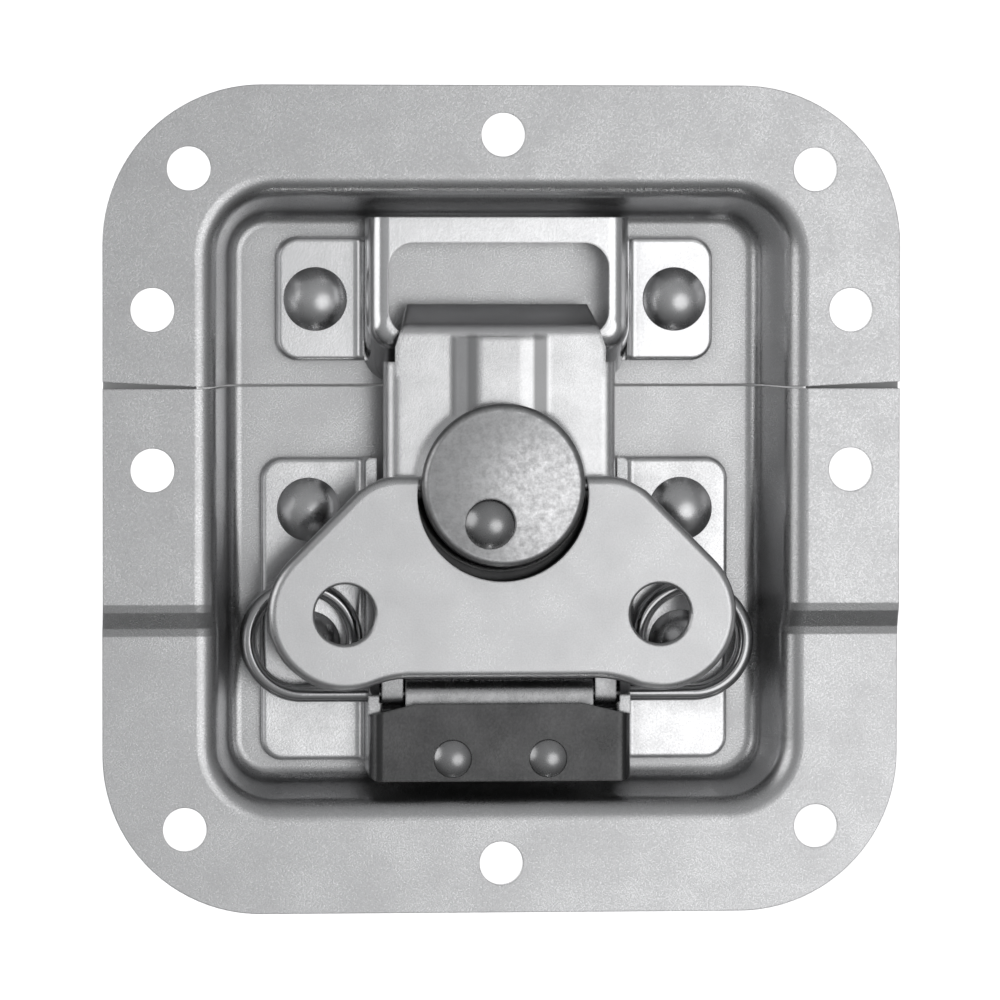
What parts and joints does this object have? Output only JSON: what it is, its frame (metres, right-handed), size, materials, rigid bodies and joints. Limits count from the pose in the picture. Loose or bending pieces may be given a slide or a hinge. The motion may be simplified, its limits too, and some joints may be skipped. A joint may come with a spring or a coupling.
{
  "type": "butterfly latch",
  "caption": "Recessed two-part butterfly latch: a cranked steel dish whose folding wing turns a drum that draws a hooked hasp down onto its keeper.",
  "frame": {"origin": "midway along and across the flange, level with the rivet tails that the dish rests on", "axes": "+Z out of the dish towards the hand, +Y from the hinged base towards the keeper, +X to the right seen from the front"},
  "size_m": [0.108, 0.112, 0.0201],
  "materials": {
    "satin_zinc": "satin zinc plate with a fine tumbled grain",
    "bright_zinc": "bright zinc plate on smooth pressed steel",
    "tumbled_zinc": "mottled tumbled zinc plate",
    "polished_rivet": "bright plated, glossy",
    "spring_wire": "bright drawn spring wire"
  },
  "bodies": {
    "base": {"upper_dish": "satin_zinc", "lower_dish": "satin_zinc", "keeper": "bright_zinc", "base_bracket": "bright_zinc", "hinge_leaf": "bright_zinc", "keeper_rivet_left": "polished_rivet", "keeper_rivet_right": "polished_rivet", "upper_rivet_left": "polished_rivet", "upper_rivet_right": "polished_rivet", "lower_rivet_left": "polished_rivet", "lower_rivet_right": "polished_rivet", "leaf_rivet_left": "polished_rivet", "leaf_rivet_right": "polished_rivet", "spring_left": "spring_wire", "spring_right": "spring_wire"},
    "plate": {"swing_plate": "bright_zinc"},
    "hasp": {"hasp": "bright_zinc"},
    "drum": {"drum": "bright_zinc", "drum_washer": "bright_zinc", "drum_cap": "tumbled_zinc", "cap_rivet": "polished_rivet", "wing_pin": "polished_rivet"},
    "wing": {"wing": "bright_zinc"}
  },
  "joints": [
    {"name": "plate_swing", "type": "hinge", "parent": "base", "child": "plate", "pos_m": [0, -0.0266, 0.00875], "axis": [1, 0, 0], "range_deg": [0, 55]},
    {"name": "drum_turn", "type": "hinge", "parent": "plate", "child": "drum", "pos_m": [0, 0.002, 0.0105], "axis": [0, 0, 1], "range_deg": [0, 180]},
    {"name": "hasp_slide", "type": "slide", "parent": "plate", "child": "hasp", "axis": [0, 1, 0], "range_m": [0, 0.006]},
    {"name": "wing_fold", "type": "hinge", "parent": "drum", "child": "wing", "pos_m": [0, 0.002, 0.0155], "axis": [-1, 0, 0], "range_deg": [0, 90]}
  ],
  "couplings": [
    {"joint": "hasp_slide", "follows": "drum_turn", "m_per_rad": 0.0019}
  ]
}
